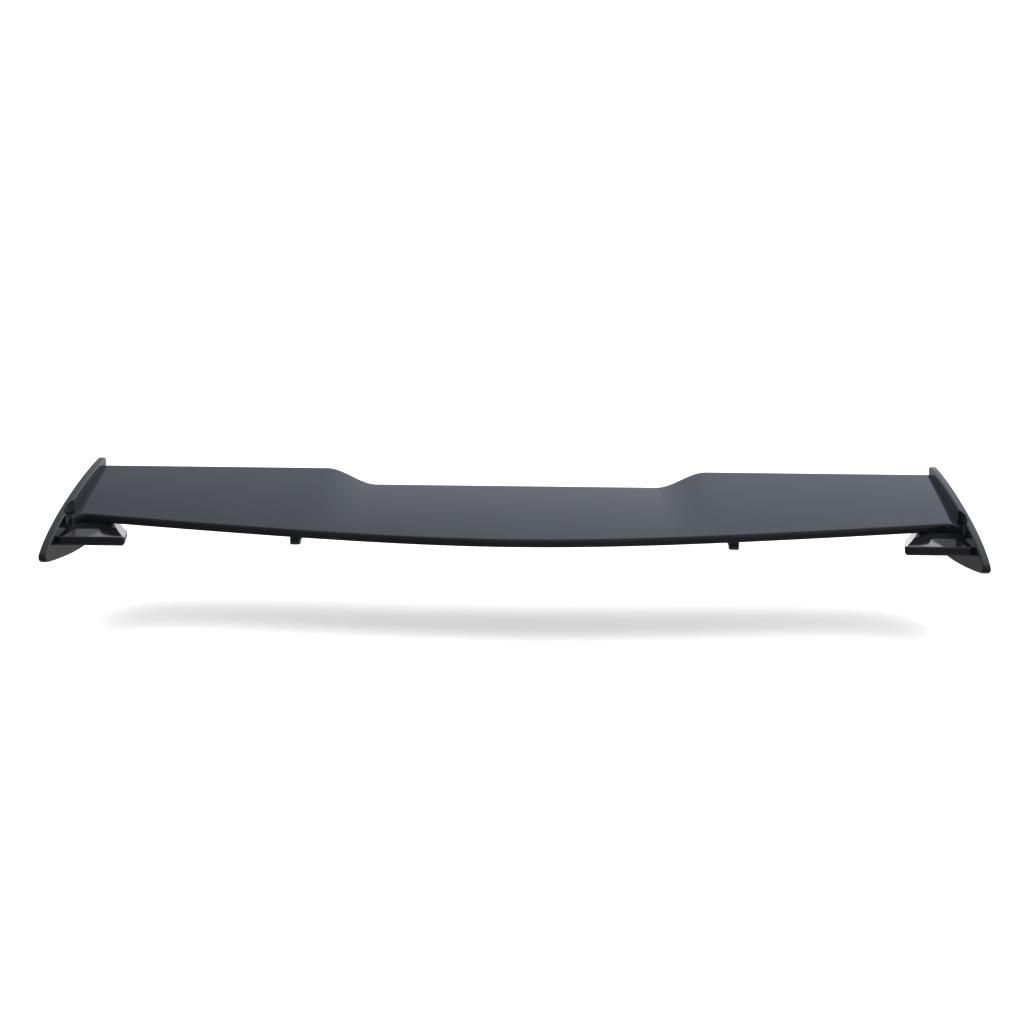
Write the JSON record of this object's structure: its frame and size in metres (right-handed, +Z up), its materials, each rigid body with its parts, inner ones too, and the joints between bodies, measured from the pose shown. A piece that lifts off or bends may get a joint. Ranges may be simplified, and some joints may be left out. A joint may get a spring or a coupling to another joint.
{
  "type": "rear wing",
  "caption": "Gloss black full-width rear wing: a bowed hollow blade with a stepped-down middle, between two leaf-shaped endplates, on two flared feet.",
  "frame": {"origin": "on the lid's surface, midway between the two feet's bolt patterns", "axes": "+X across the car to the right as seen from the leading edge side, +Y from the leading edge to the trailing edge, +Z up from the lid"},
  "size_m": [1.35, 0.3533, 0.143],
  "materials": {
    "gloss_shell": "high-gloss black moulding",
    "satin_shell": "as-moulded satin black",
    "foot_plastic": "fine-grained satin black",
    "seal_rubber": "matt black rubber",
    "brass_insert": "turned brass",
    "zinc_steel": "zinc-plated steel"
  },
  "bodies": {
    "root": {"blade_upper_skin": "gloss_shell", "blade_lower_skin": "satin_shell", "blade_front_web": "satin_shell", "blade_rear_web": "satin_shell", "blade_ribs": "satin_shell", "end_rib_left": "satin_shell", "end_rib_right": "satin_shell", "endplate_left": "gloss_shell", "endplate_right": "gloss_shell", "endplate_screws_left": "zinc_steel", "endplate_screws_right": "zinc_steel", "endplate_inserts_left": "brass_insert", "endplate_inserts_right": "brass_insert", "screw_caps_left": "gloss_shell", "screw_caps_right": "gloss_shell", "foot_leg_left": "gloss_shell", "foot_leg_right": "gloss_shell", "foot_pad_left": "foot_plastic", "foot_pad_right": "foot_plastic", "foot_gasket_left": "seal_rubber", "foot_gasket_right": "seal_rubber", "foot_inserts_left": "brass_insert", "foot_inserts_right": "brass_insert", "mount_block_left": "satin_shell", "mount_block_right": "satin_shell", "tie_bolts_left": "zinc_steel", "tie_bolts_right": "zinc_steel", "support_peg_left": "foot_plastic", "support_peg_right": "foot_plastic", "peg_tip_left": "seal_rubber", "peg_tip_right": "seal_rubber", "peg_screw_left": "zinc_steel", "peg_screw_right": "zinc_steel", "peg_insert_left": "brass_insert", "peg_insert_right": "brass_insert"}
  },
  "joints": []
}
